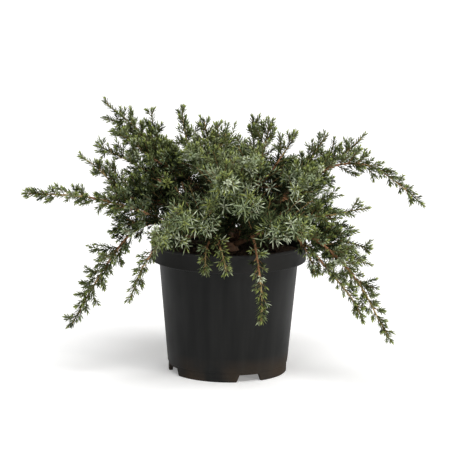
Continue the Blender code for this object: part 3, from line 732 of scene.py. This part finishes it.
def tubes(paths, radii, sides, relief=None):
    """Closed tubes: rings of sides points round each path at its radii, times 1 + relief,
    with a point at each end. paths is (tubes, points, 3) and radii (tubes, points)."""
    count, steps = radii.shape
    tangent = unit(np.gradient(paths, axis=1))
    chord = unit(paths[:, -1] - paths[:, 0])
    other = np.where(np.abs(chord[:, 2:3]) > 0.9, [[1.0, 0.0, 0.0]], [[0.0, 0.0, 1.0]])
    across = unit(np.cross(tangent, other[:, None, :]))
    over = np.cross(tangent, across)
    turn = np.arange(sides) * 2 * math.pi / sides
    size = radii[:, :, None]
    if relief is not None:
        size = size * (1 + relief)
    circle = np.cos(turn)[:, None] * across[:, :, None] + np.sin(turn)[:, None] * over[:, :, None]
    ring = paths[:, :, None] + circle * size[..., None]
    ends = np.stack([paths[:, 0] - tangent[:, 0] * radii[:, :1] * 0.3, paths[:, -1] + tangent[:, -1] * radii[:, -1:]], 1)
    points = np.concatenate([ring.reshape(count, -1, 3), ends], axis=1)
    i, j = np.meshgrid(np.arange(steps - 1), np.arange(sides), indexing="ij")
    k = (j + 1) % sides
    quads = np.stack([i * sides + j, i * sides + k, (i + 1) * sides + k, (i + 1) * sides + j], axis=2)
    j = np.arange(sides)
    k = (j + 1) % sides
    last = (steps - 1) * sides
    foot = np.stack([np.full(sides, steps * sides), k, j], axis=1)
    tip = np.stack([np.full(sides, steps * sides + 1), last + j, last + k], axis=1)
    offset = np.arange(count)[:, None, None] * (steps * sides + 2)
    quads = (quads.reshape(-1, 4)[None] + offset).reshape(-1, 4)
    caps = (np.concatenate([foot, tip])[None] + offset).reshape(-1, 3)
    return points.reshape(-1, 3), [quads, caps]


def bark_relief(count, steps, sides, depth, rng):
    """Lengthwise ridges that wander round the limb, and small knobs along it."""
    turn = np.arange(sides) * 2 * math.pi / sides
    along = np.linspace(0, 1, steps)[:, None]
    relief = np.zeros((count, steps, sides))
    for ridges, weight in ((3, 0.5), (5, 0.8), (8, 0.6)):
        phase = rng.uniform(0, 2 * math.pi, (count, 1, 1))
        twist = rng.uniform(-6, 6, (count, 1, 1))
        relief += weight * np.sin(ridges * turn + twist * along + phase)
    relief += rng.uniform(-0.9, 0.9, (count, steps, sides))
    return depth * relief


def make_wood(limb_paths):
    """The stem with its flared foot, the boughs and the limbs, with the bark's relief."""
    old = bark_skin("old_bark", (0.050, 0.026, 0.014), (0.150, 0.078, 0.040), (0.130, 0.110, 0.090))
    young = bark_skin("limb_bark", (0.240, 0.110, 0.050), (0.440, 0.230, 0.110), (0.330, 0.240, 0.150))
    fresh = bark_skin("young_limb_bark", (0.330, 0.240, 0.090), (0.520, 0.400, 0.170), (0.430, 0.350, 0.180))
    steps, sides = 60, 28
    share = np.linspace(0, 1, steps)
    foot = PEAT_MIDDLE - 0.003
    height = foot + (STEM_TOP - foot) * share
    line = np.stack([STEM_LEAN * share**2, np.zeros(steps), height], axis=1)
    radius = np.interp(height, [PEAT_MIDDLE + GAP, PEAT_MIDDLE + 0.009, STEM_TOP], [FLARE_RADIUS, STEM_RADIUS, STEM_TOP_RADIUS])
    radius = np.minimum(radius, FLARE_RADIUS)
    points, faces = tubes(line[None], radius[None], sides, bark_relief(1, steps, sides, 0.045, RNG))
    stem = new_piece("stem_bark", points, faces, [old])
    put_on(stem, "bark", "main_stem")
    paths = np.stack([bough_path(name) for name in BOUGHS])
    radii = np.linspace(BOUGH_FOOT_RADIUS, BOUGH_END_RADIUS, PATH_STEPS + 1)
    radii = np.repeat(radii[None], len(paths), axis=0)
    paths[:, 0] = paths[:, 0] * (0.72, 0.72, 1.0)
    points, faces = tubes(paths, radii, 14, bark_relief(len(paths), PATH_STEPS + 1, 14, 0.055, RNG))
    boughs = new_piece("boughs_bark", points, faces, [old])
    put_on(boughs, "bark", *[f"bough_{name}" for name in BOUGHS])
    paths = np.stack(list(limb_paths.values()))
    lengths = np.array([LIMBS[name][3] for name in LIMBS])
    start = np.clip(BOUGH_END_RADIUS * (lengths / 0.15) ** 0.4, 0.0012, BOUGH_END_RADIUS)
    share = np.linspace(0, 1, PATH_STEPS + 1)
    radii = start[:, None] + (LIMB_TIP_RADIUS - start[:, None]) * share**0.9
    points, faces = tubes(paths, radii, 10, bark_relief(len(paths), PATH_STEPS + 1, 10, 0.05, RNG))
    along = np.tile(np.repeat(share[:-1] > GREEN_BARK_FROM, 10), len(paths))
    ends = np.tile(np.repeat([0, 1], 10), len(paths))
    limbs = new_piece("limbs_bark", points, faces, [young, fresh], np.concatenate([along, ends]))
    put_on(limbs, "bark", *FOLIAGE)


# Shoots: start, way (its first direction), lift (which way it bends), curl, length,
# radius, and the spray it belongs to, as arrays with one row for each shoot


def shoot_points(shoots, share):
    """Points and directions along each shoot: start + length * (share * way +
    curl * share squared * lift)."""
    share = share[..., None]
    way = shoots["way"][:, None]
    lift = shoots["lift"][:, None]
    curl = shoots["curl"][:, None, None]
    length = shoots["length"][:, None, None]
    points = shoots["start"][:, None] + length * (way * share + lift * curl * share**2)
    return points, unit(way + lift * (2 * curl * share))


def around(direction, azimuth, level):
    """A unit vector square to each direction, turned by azimuth from the level one."""
    side = unit(np.cross(level, direction))
    over = np.cross(direction, side)
    return np.cos(azimuth)[:, None] * side + np.sin(azimuth)[:, None] * over


def fullness(share, slender, style):
    """How far the needles reach from a limb, as a share of the mass's half width: it
    rises over the first third and falls to the tip's own needles. The fall is late in
    the middle of the plant, early towards its top and sides, and even on a slender limb."""
    rise = 0.74 + 0.26 * np.sin(np.clip(share / 0.35, 0, 1) * math.pi / 2)
    late = 1 - 0.75 * np.clip((share - 0.40) / 0.58, 0, 1) ** 1.3
    early = 1 - 0.86 * np.clip((share - 0.32) / 0.50, 0, 1) ** 1.2
    even = 1 - 0.66 * np.clip((share - 0.25) / 0.75, 0, 1)
    fall = late + (early - late) * style
    return rise * (fall + (even - fall) * slender)


def on_path(path, share):
    """Points and directions at shares of the way along a path, between its own points."""
    whole = np.linspace(0, 1, len(path))
    gradient = np.gradient(path, axis=0)
    points = np.stack([np.interp(share, whole, path[:, k]) for k in range(3)], axis=1)
    return points, unit(np.stack([np.interp(share, whole, gradient[:, k]) for k in range(3)], axis=1))


def grow_from_path(path, length, width, depth, first, slender, spacing, rng):
    """Side shoots along one limb, a golden angle apart, leaning forward more towards the
    tip. Each stops short of the mass's side by a part of its own needles' length. On a
    slender limb those that point left or right are short, as the placed ones are there."""
    count = max(4, int(round(length * (1 - first) / spacing)))
    share = first + (0.97 - first) * (np.arange(count) + rng.uniform(0.1, 0.9, count)) / count
    start, direction = on_path(path, share)
    azimuth = np.radians(GOLDEN_ANGLE * np.arange(count) + rng.uniform(-25, 25, count))
    upright = np.tile([0.0, 0.0, 1.0], (count, 1))
    out = around(direction, azimuth, upright)
    angle = np.radians(SHOOT_ANGLES[0] + (SHOOT_ANGLES[1] - SHOOT_ANGLES[0]) * share + rng.uniform(-8, 8, count))
    way = np.cos(angle)[:, None] * direction + np.sin(angle)[:, None] * out
    style = np.maximum(SLENDER_STYLE * slender, tightness(start))
    reach = np.hypot(width * np.cos(azimuth), depth * np.sin(azimuth)) * fullness(share, slender, style)
    level = np.sqrt(1 - direction[:, 2] ** 2)
    reach = reach * (1 + UPPER_GAIN * level * np.sin(azimuth))
    reach = reach - 0.45 * between(NEEDLE_LENGTHS, style)
    size = reach / np.sin(angle) * rng.uniform(0.74, 1.12, count)
    size = size * (1 - DEEP_GAPS * (1 - slender) * rng.uniform(0, 1, count) * (start[:, 1] < 0))
    size = size * (1 - slender * SIDE_ROOM * (1 - np.abs(out[:, 1])))
    size = size * (1 - TIP_TRIM * slender * share)
    size = np.minimum(size, 0.6 * (1 - share) * length + SHORTEST_SHOOT)
    style = np.maximum(SLENDER_STYLE * slender, tightness(start + way * size[:, None] * STYLE_AT))
    closed = np.maximum(slender, style)
    outward = unit(start - np.array(HEART)) + upright * 0.3
    onward = direction * 0.8 + upright * 0.5
    lift = unit(outward + (onward - outward) * closed[:, None] + rng.normal(0, 0.30, (count, 3)))
    behind = np.clip(0.35 + start[:, 1] / 0.04, 0.15, 1)
    star = (rng.uniform(0, 1, count) < STAR_SHARE * behind) & (style < HEART_STYLE) & (slender < 0.5)
    size = size * np.where(star, STAR_GAIN, 1.0)
    return {
        "start": start,
        "way": way,
        "lift": lift,
        "curl": between(SHOOT_CURLS, closed) * rng.uniform(0.5, 1.3, count),
        "length": np.maximum(size, SHORTEST_SHOOT * rng.uniform(0.9, 1.9, count)),
        "radius": 0.00036 + 0.00030 * (1 - share),
        "spray": np.arange(count),
        "style": style,
        "slender": np.full(count, slender),
        "kind": np.where(star, 1 + np.arange(count) % 2, 0),
        "tip": share,
    }


def side_shoots(path, length, width, slender, rng):
    """Shoots at even steps along a slender limb, by turns to its left and right as the
    viewer sees it, leaning forward more towards the tip and as long as the limb is full."""
    count = int(round(length * (SIDE_SHARES[1] - SIDE_SHARES[0]) / SIDE_STEP))
    share = between(SIDE_SHARES, (np.arange(count) + rng.uniform(0.1, 0.9, count)) / count)
    start, direction = on_path(path, share)
    turns = np.where(np.arange(count) % 2, 1.0, -1.0)[:, None]
    across = unit(np.cross(direction, VIEW_AXIS)) * turns
    across = unit(across + np.array(VIEW_AXIS) * rng.normal(0, SIDE_DEPTH, count)[:, None])
    angle = np.radians(between(SIDE_ANGLES, share) + rng.uniform(-9, 9, count))
    way = np.cos(angle)[:, None] * direction + np.sin(angle)[:, None] * across
    style = np.maximum(SLENDER_STYLE * slender, tightness(start))
    reach = SIDE_REACH * width * fullness(share, slender, style) - 0.45 * between(NEEDLE_LENGTHS, style)
    size = reach / np.sin(angle) * rng.uniform(0.50, 1.30, count) * (1 - SIDE_TRIM * share)
    size = np.clip(size, 0.6 * SHORTEST_SHOOT, 0.6 * (1 - share) * length + SHORTEST_SHOOT)
    return {
        "start": start,
        "way": way,
        "lift": np.tile(unit(np.array(UPWARD)), (count, 1)),
        "curl": np.full(count, SIDE_CURL),
        "length": size,
        "radius": 0.00036 + 0.00030 * (1 - share),
        "spray": np.arange(count),
        "style": np.maximum(SLENDER_STYLE * slender, tightness(start + way * size[:, None] * STYLE_AT)),
        "slender": np.full(count, slender),
        "kind": np.full(count, PLAIN),
        "tip": share,
    }


def front_shoots(path, count, first, rng):
    """Shoots at even steps along a front limb that come forward, spread between two
    azimuths and two rises, and bend to face the viewer. Their kinds follow one another."""
    order = np.arange(count)
    share = between(FRONT_SHARES, (order + rng.uniform(0.1, 0.9, count)) / count)
    start, _ = on_path(path, share)
    azimuth = np.radians(between(FRONT_AZIMUTHS, rng.uniform(0, 1, count)))
    rise = np.radians(between(FRONT_RISES, rng.uniform(0, 1, count)))
    flat = np.cos(rise)
    way = np.stack([flat * np.cos(azimuth), flat * np.sin(azimuth), np.sin(rise)], axis=1)
    size = between(FRONT_LENGTHS, rng.uniform(0, 1, count))
    return {
        "start": start,
        "way": way,
        "lift": np.tile(unit(np.array(FORWARD)), (count, 1)),
        "curl": np.full(count, FRONT_CURL),
        "length": size,
        "radius": 0.00036 + 0.00030 * (1 - share),
        "spray": order,
        "style": tightness(start + way * size[:, None] * STYLE_AT),
        "slender": np.zeros(count),
        "kind": np.array(FRONT_KINDS)[(order + first) % len(FRONT_KINDS)],
        "tip": share,
    }


def tightness(points):
    """0 in the middle of the plant, where needles are long and open like stars, up to 1
    towards its top and sides, where they are short and lie forward."""
    above = np.maximum(points[:, 2] - 0.216, 0)
    behind = np.maximum(points[:, 1] - 0.030, 0) / 0.100
    before = np.maximum(-0.140 - points[:, 1], 0) / 0.030
    away = np.hypot((points[:, 0] - 0.008) / 0.100, above / 0.060)
    away = np.hypot(away, behind + before)
    return np.clip((away - 0.55) / 0.50, 0, 1)


def between(ends, share):
    """The value a share of the way from the first end to the second."""
    return ends[0] + (ends[1] - ends[0]) * share


def joined(groups):
    """Groups of shoots put end to end, each spray keeping a number of its own."""
    out = {key: np.concatenate([g[key] for g in groups]) for key in groups[0] if key != "spray"}
    counts = np.cumsum([0] + [g["spray"].max() + 1 for g in groups])
    out["spray"] = np.concatenate([g["spray"] + n for g, n in zip(groups, counts)])
    return out


def clear_of_pot(shoots, above):
    """The shoots whose middle and tip stay outside the pot, or above its rim by a little."""
    ends, _ = shoot_points(shoots, np.tile([0.5, 1.0], (len(shoots["length"]), 1)))
    reach = np.hypot(ends[..., 0], ends[..., 1])
    over_pot = reach < RIM_RADIUS + 0.004
    above = np.where(ends[..., 1] < 0, above, 0.002)
    sunk = over_pot & (ends[..., 2] < POT_HEIGHT + above)
    kept = ~sunk.any(axis=1)
    return {key: values[kept] for key, values in shoots.items()}


def clear_of_gaps(shoots):
    """The shoots that end outside the gaps of sky: a point's place on the plane y = 0 is
    the camera's place plus their difference times (camera y) / (camera y - point y)."""
    ends, _ = shoot_points(shoots, np.tile([0.7, 1.0], (len(shoots["length"]), 1)))
    eye = np.array(CAMERA_PLACE)
    seen = eye + (ends - eye) * (eye[1] / (eye[1] - ends[..., 1]))[..., None]
    across, height, radius = np.array(list(SKY_GAPS.values())).T
    kept = ~(np.hypot(seen[..., :1] - across, seen[..., 2:] - height) < radius).any(axis=(1, 2))
    return {key: values[kept] for key, values in shoots.items()}


def grow_sprigs(shoots, rng):
    """Short shoots on the side shoots, on alternate sides, longest near the foot."""
    counts = np.rint(shoots["length"] / between(SPRIG_SPACINGS, shoots["style"])).astype(int)
    parent = np.repeat(np.arange(len(counts)), counts)
    order = np.arange(len(parent)) - np.repeat(np.cumsum(counts) - counts, counts)
    share = 0.20 + 0.62 * (order + rng.uniform(0.2, 0.8, len(parent))) / counts[parent]
    picked = {key: values[parent] for key, values in shoots.items()}
    points, directions = shoot_points(picked, share[:, None])
    start, direction = points[:, 0], directions[:, 0]
    azimuth = math.pi * order + rng.uniform(0, 2 * math.pi, len(counts))[parent]
    azimuth = azimuth + rng.uniform(-0.7, 0.7, len(parent))
    out = around(direction, azimuth, unit(picked["lift"]))
    angle = np.radians(between(SPRIG_ANGLES, share) + rng.uniform(-9, 9, len(parent)))
    way = np.cos(angle)[:, None] * direction + np.sin(angle)[:, None] * out
    size = picked["length"] * 0.60 * (1 - 0.62 * share) * rng.uniform(0.75, 1.2, len(parent))
    kept = size > SPRIG_LENGTHS[0] * 0.6
    sprigs = dict(picked)
    sprigs["start"] = start
    sprigs["way"] = way
    sprigs["lift"] = unit(direction + rng.normal(0, 0.3, (len(parent), 3)))
    sprigs["curl"] = 0.18 * rng.uniform(0.3, 1.3, len(parent))
    sprigs["length"] = np.clip(size, *SPRIG_LENGTHS)
    sprigs["radius"] = np.full(len(parent), 0.00030)
    sprigs["kind"] = np.zeros(len(parent), int)
    sprigs["spray"] = shoots["spray"].max() + 1 + np.arange(len(parent))
    return {key: values[kept] for key, values in sprigs.items()}


def shoot_tubes(shoots, steps, sides):
    """Each shoot as a thin tube that narrows to its tip."""
    share = np.linspace(0, 1, steps)
    points, _ = shoot_points(shoots, np.repeat(share[None], len(shoots["length"]), axis=0))
    radii = shoots["radius"][:, None] * (1 - 0.55 * share)
    return tubes(points, radii, sides)


def whorls_on(shoots, bare, rng):
    """Every whorl's place and direction, with its distance to the tip: pitch times the
    whorl's number from the tip, raised to the crowding, as far back as the bare foot."""
    pitch = between(WHORL_PITCHES, shoots["style"])
    crowding = between(WHORL_CROWDING, shoots["style"])
    steps = np.maximum((shoots["length"] - bare) / pitch, 0) ** (1 / crowding)
    counts = 1 + steps.astype(int)
    parent = np.repeat(np.arange(len(counts)), counts)
    order = np.arange(len(parent)) - np.repeat(np.cumsum(counts) - counts, counts)
    left = (counts[parent] - 1 - order) ** crowding[parent] * pitch[parent]
    share = np.clip(1 - left / shoots["length"][parent], 0.02, 1.0)
    picked = {key: values[parent] for key, values in shoots.items()}
    points, directions = shoot_points(picked, share[:, None])
    roll = rng.uniform(0, 2 * math.pi, len(counts))[parent] + order * math.pi / 3
    return {
        "start": points[:, 0],
        "way": directions[:, 0],
        "roll": roll + rng.uniform(-0.2, 0.2, len(parent)),
        "left": left,
        "spray": picked["spray"],
        "style": picked["style"],
        "slender": picked["slender"],
        "kind": picked["kind"],
    }


def leader_whorls(limb_paths, first_spray, rng):
    """The whorls on the limbs themselves: close together over the last stretch, then
    sparse back to the middle of the limb, or further back on a slender one."""
    sets = []
    for number, (name, path) in enumerate(limb_paths.items()):
        length, width = LIMBS[name][3:5]
        slender = slenderness(width)
        style = max(SLENDER_STYLE * slender, tightness(path[-1:])[0])
        close = np.arange(0, LEADER_LENGTH, between(WHORL_PITCHES, style))
        sparse = np.arange(LEADER_LENGTH, length * (0.5 + 0.3 * slender), LEADER_PITCH)
        left = np.concatenate([close, sparse + rng.uniform(-0.001, 0.001, len(sparse))])
        share = 1 - left / length
        count = len(left)
        start, way = on_path(path, share)
        sets.append(
            {
                "start": start,
                "way": way,
                "roll": np.arange(count) * math.pi / 3 + rng.uniform(-0.2, 0.2, count),
                "left": left,
                "spray": np.full(count, first_spray + number),
                "style": np.full(count, style),
                "slender": np.full(count, slender),
                "kind": np.zeros(count, int),
            }
        )
    return {key: np.concatenate([s[key] for s in sets]) for key in sets[0]}


def needles_at(whorls, rng):
    """Three needles for each whorl. A needle leans out from the shoot, less near the
    tip, and is shorter there. It has a flat silver face above and a keel below."""
    count = len(whorls["left"])
    near_tip = np.exp(-whorls["left"] / between(TIP_WHORLS, whorls["style"]))
    parent = np.repeat(np.arange(count), 3)
    total = len(parent)
    azimuth = whorls["roll"][parent] + np.tile([0, 2 * math.pi / 3, 4 * math.pi / 3], count)
    azimuth = azimuth + rng.uniform(-0.25, 0.25, total)
    direction = whorls["way"][parent]
    tilted = np.where(np.abs(direction[:, 2:]) > 0.85, [[1.0, 0.0, 0.0]], [[0.0, 0.0, 1.0]])
    out = around(direction, azimuth, tilted)
    wide = between(NEEDLE_SPREADS, whorls["style"])
    spread = wide + (between(TIP_SPREADS, whorls["style"]) - wide) * near_tip
    angle = np.radians(spread[parent] + rng.uniform(-9, 9, total))[:, None]
    way = np.cos(angle) * direction + np.sin(angle) * out
    face = np.sin(angle) * direction - np.cos(angle) * out
    across = np.cross(way, face)
    shortening = between(TIP_SHORTENING, whorls["style"])
    size = between(NEEDLE_LENGTHS, whorls["style"]) * (1 - shortening * near_tip)
    length = size[parent] * rng.uniform(0.78, 1.12, total)
    half = between(NEEDLE_WIDTHS, whorls["style"])[parent, None] / 2 * across
    foot = whorls["start"][parent] + out * 0.0003
    middle = foot + way * (length * WIDEST_AT)[:, None]
    keel = foot + way * (length * 0.45)[:, None] - face * NEEDLE_DEPTH
    points = np.stack(
        [
            foot + half * FOOT_WIDTH,
            foot - half * FOOT_WIDTH,
            middle + half,
            middle - half,
            foot + way * length[:, None],
            keel,
        ],
        axis=1,
    )
    return points, parent


NEEDLE_FACES = np.array(
    [[0, 2, 3], [0, 3, 1], [2, 4, 3], [2, 0, 5], [4, 2, 5], [3, 4, 5], [1, 3, 5], [0, 1, 5]]
)
NEEDLE_SLOTS = np.array([0, 0, 0, 1, 1, 1, 1, 1])


def make_needles(name, points, upper, under):
    """One piece of many needles, silver above and green below."""
    offsets = np.arange(len(points))[:, None, None] * points.shape[1]
    faces = (NEEDLE_FACES[None] + offsets).reshape(-1, 3)
    slots = np.tile(NEEDLE_SLOTS, len(points))
    piece = new_piece(name, points.reshape(-1, 3), [faces], [upper, under], slots, smooth=False)
    return put_on(piece, "foliage", *FOLIAGE)


# The shade tone is painted shade for needles inside the crown. The deep tone is partly the older needles' own
# darker green and partly painted shade.
TONES = {
    "shade": ((0.030, 0.043, 0.015), (0.013, 0.020, 0.006)),
    "deep": ((0.090, 0.118, 0.044), (0.040, 0.056, 0.017)),
    "green": ((0.205, 0.257, 0.098), (0.092, 0.122, 0.038)),
    "blue": ((0.360, 0.445, 0.255), (0.080, 0.112, 0.040)),
    "silver": ((0.690, 0.770, 0.550), (0.140, 0.180, 0.070)),
    "tip": ((0.360, 0.420, 0.120), (0.210, 0.255, 0.066)),
    "outer": ((0.262, 0.310, 0.130), (0.108, 0.132, 0.049)),
    "pale": ((0.410, 0.470, 0.275), (0.125, 0.150, 0.063)),
}
HEART_STYLE = 0.5


def slenderness(width):
    """0 for a limb in the body of the plant, up to 1 for a slender outer one."""
    return float(np.clip((BODY_WIDTH - width) / (BODY_WIDTH - SLENDER_WIDTH), 0, 1))


def make_plant():
    """The wood, the shoots and the needles."""
    limb_paths = {name: limb_path(name, RNG) for name in LIMBS}
    make_wood(limb_paths)
    groups = []
    for name, path in limb_paths.items():
        length, width, depth = LIMBS[name][3:6]
        slender = slenderness(width)
        spacing = between(SHOOT_SPACINGS, slender)
        grown = grow_from_path(path, length, width, depth, 0.02, slender, spacing, RNG)
        groups.append(clear_of_gaps(clear_of_pot(grown, CLEARANCE)))
        if slender > 0:
            groups.append(clear_of_gaps(side_shoots(path, length, width, slender, RNG)))
    for first, (name, count) in enumerate(FRONT_SHOOTS.items()):
        groups.append(front_shoots(limb_paths[name], count, 3 * first, RNG))
    for name in BOUGHS:
        path = bough_path(name)
        length = BOUGHS[name][4]
        reach = BOUGH_SHOOT_REACH
        grown = grow_from_path(path, length, reach, reach, BOUGH_SHOOT_START, 0.0, BOUGH_SHOOT_SPACING, RNG)
        groups.append(clear_of_gaps(clear_of_pot(grown, CLEARANCE)))
    shoots = clear_of_pot(joined([group for group in groups if len(group["spray"])]), 0.002)
    sprigs = clear_of_gaps(clear_of_pot(grow_sprigs(shoots, RNG), 0.002))
    brown, _, _ = new_material("shoot_bark", (0.300, 0.185, 0.075), 0.7, 0.2)
    green, _, _ = new_material("sprig_bark", (0.200, 0.170, 0.060), 0.65, 0.2)
    points, faces = shoot_tubes(shoots, 5, 5)
    put_on(new_piece("shoots", points, faces, [brown]), "bark", *FOLIAGE)
    points, faces = shoot_tubes(sprigs, 3, 3)
    put_on(new_piece("sprigs", points, faces, [green]), "bark", *FOLIAGE)
    leaders = leader_whorls(limb_paths, sprigs["spray"].max() + 1, RNG)
    sets = [leaders, whorls_on(shoots, 0.004, RNG), whorls_on(sprigs, 0.001, RNG)]
    whorls = {key: np.concatenate([s[key] for s in sets]) for key in sets[0]}
    points, parent = needles_at(whorls, RNG)
    sort_by_tone(points, whorls, parent)


def sort_by_tone(points, whorls, parent):
    """Deals the needles out by spray: deep, blue or silver, painted shade that darkens the
    heart and inside of the plant, and yellow-green needles at the tips of most sprays."""
    sprays = whorls["spray"].max() + 1
    drawn = RNG.uniform(0, 1, sprays)
    fresh = RNG.uniform(0, 1, sprays)
    spray = whorls["spray"]
    x, y, z = whorls["start"].T
    depth = np.sqrt((x / 0.150) ** 2 + (y / 0.125) ** 2 + ((z - 0.185) / 0.085) ** 2)
    style = whorls["style"]
    heart = (style < HEART_STYLE) & (whorls["slender"] < 0.5)
    outer = whorls["left"] < between((0.0085, 0.0160), style)
    fresh = fresh[spray] < 0.30 + 0.45 * style
    # Deep is the default: partly the darker green of older needles back from the tips, partly painted shade.
    tone = np.full(len(spray), 1)
    tone[~heart & outer & (drawn[spray] > 0.20)] = 2
    tone[~heart & outer & (drawn[spray] > 0.58)] = 3
    rim = ~heart & outer & (depth > 1.05)
    tone[rim & (drawn[spray] > 0.14)] = 6
    tone[rim & (drawn[spray] > 0.54)] = 7
    tone[~heart & outer & (drawn[spray] > 0.92)] = 4
    # Painted shade: about a quarter of the sprays inside the crown are made dark.
    tone[(depth < 1.02) & (drawn[spray] < 0.24)] = 0
    tone[heart & outer & (drawn[spray] > 0.46)] = 2
    tone[heart & outer & (drawn[spray] > 0.66)] = 3
    tone[heart & outer & (drawn[spray] > 0.88)] = 4
    # Painted shade: needles deep in the crown, whorls back from the tips inside it, and the heart's needles away
    # from its outer tips take the shade tone.
    tone[(depth < 0.72) | ((depth < 1.00) & ~outer) | (heart & (~outer | (depth < 0.84)))] = 0
    kind = whorls["kind"]
    crown = whorls["left"] < 0.0095
    tone[(kind == 1) & crown] = 4
    tone[(kind == 2) & crown] = 3
    tone[(kind == 3) & crown] = 2
    tone[(kind == 4) & (whorls["left"] < 0.014)] = 5
    tone[fresh & (whorls["left"] < 0.0018) & (tone > 0)] = 5
    tone = tone[parent]
    limit = MOST_TRIANGLES // len(NEEDLE_FACES)
    for number, (label, (above, below)) in enumerate(TONES.items()):
        upper, _, _ = new_material(f"needle_top_{label}", above, 0.60, 0.10)
        under, _, _ = new_material(f"needle_under_{label}", below, 0.60, 0.10)
        chosen = points[tone == number]
        parts = max(1, math.ceil(len(chosen) / limit))
        for n, some in enumerate(np.array_split(chosen, parts)):
            title = f"needles_{label}" if parts == 1 else f"needles_{label}_{n + 1}"
            make_needles(title, some, upper, under)


# The room


def make_room():
    """A pale floor, a white surround, and soft lights above and to both sides."""
    floor_material, _, shader = new_material("pale_floor", (0.88, 0.88, 0.88), 0.8, 0.1)
    shader.inputs["Emission Color"].default_value = (1.0, 1.0, 1.0, 1.0)
    shader.inputs["Emission Strength"].default_value = 0.25
    size = 30.0
    corners = np.array([[-size, -size, 0], [size, -size, 0], [size, size, 0], [-size, size, 0]])
    floor = new_piece("floor", corners, [np.array([[0, 1, 2, 3]])], [floor_material], smooth=False)
    world = bpy.data.worlds.new("studio")
    world.use_nodes = True
    tree = world.node_tree
    lit = tree.nodes["Background"]
    lit.inputs["Color"].default_value = (1.0, 1.0, 1.0, 1.0)
    lit.inputs["Strength"].default_value = 0.22
    seen = tree.nodes.new("ShaderNodeBackground")
    seen.inputs["Color"].default_value = (1.0, 1.0, 1.0, 1.0)
    seen.inputs["Strength"].default_value = 1.0
    rays = tree.nodes.new("ShaderNodeLightPath")
    mix = tree.nodes.new("ShaderNodeMixShader")
    tree.links.new(rays.outputs["Is Camera Ray"], mix.inputs["Fac"])
    tree.links.new(lit.outputs["Background"], mix.inputs[1])
    tree.links.new(seen.outputs["Background"], mix.inputs[2])
    tree.links.new(mix.outputs["Shader"], tree.nodes["World Output"].inputs["Surface"])
    bpy.context.scene.world = world
    suns = {"key": ((0.15, -0.45, 1.0), 42.0, 2.5), "rim": ((0.5, 0.8, 0.9), 40.0, 0.5)}
    for name, (way, spread, strength) in suns.items():
        lamp = bpy.data.lights.new(name, "SUN")
        lamp.angle = math.radians(spread)
        lamp.energy = strength
        hang(name, lamp, way, (0.0, 0.0, 0.0))
    boxes = {
        "left_box": ((-2.1, 0.7, 1.0), 1.0, 3.5),
        "right_box": ((2.1, 0.9, 1.0), 1.0, 6.0),
        "front_box": ((1.9, -1.75, 0.5), 0.30, 20.0),
    }
    for name, (spot, width, power) in boxes.items():
        lamp = bpy.data.lights.new(name, "AREA")
        lamp.shape = "DISK"
        lamp.size = width
        lamp.energy = power
        lamp.color = WARM_WHITE
        hang(name, lamp, spot, (0.0, 0.0, 0.2))


def hang(name, lamp, spot, aim):
    """Places a lamp at spot, shining at aim."""
    holder = bpy.data.objects.new(name, lamp)
    holder.location = spot
    holder.rotation_euler = (Vector(aim) - Vector(spot)).to_track_quat("-Z", "Y").to_euler()
    bpy.context.scene.collection.objects.link(holder)


def make_camera():
    """The photo's own view of the pot: its place, aim, lens and slight roll."""
    camera = bpy.data.cameras.new("camera")
    camera.lens = CAMERA_LENS
    camera.sensor_width = 36.0
    camera.clip_end = 100.0
    holder = bpy.data.objects.new("camera", camera)
    look = (Vector(CAMERA_AIM) - Vector(CAMERA_PLACE)).to_track_quat("-Z", "Y").to_matrix().to_4x4()
    roll = Matrix.Rotation(math.radians(CAMERA_ROLL), 4, "Z")
    holder.matrix_world = Matrix.Translation(CAMERA_PLACE) @ look @ roll
    bpy.context.scene.collection.objects.link(holder)
    bpy.context.scene.camera = holder
    bpy.context.scene.view_settings.view_transform = "Standard"


FOLIAGE = sorted(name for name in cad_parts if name.startswith("foliage_"))

make_camera()
make_room()
make_pot()
make_peat()
dark_crumbs = peat_earth("peat_crumb_earth", (0.018, 0.011, 0.007), (0.075, 0.046, 0.027))
pale_chips = peat_earth("bark_chip_earth", (0.080, 0.045, 0.024), (0.190, 0.120, 0.070))
scattered("peat_crumbs", CRUMB_COUNT, CRUMB_RADII, (1.0, 0.85, 0.7), dark_crumbs, RNG)
scattered("bark_chips", CHIP_COUNT, (0.0012, 0.0030), (1.8, 0.7, 0.3), pale_chips, RNG)
make_plant()
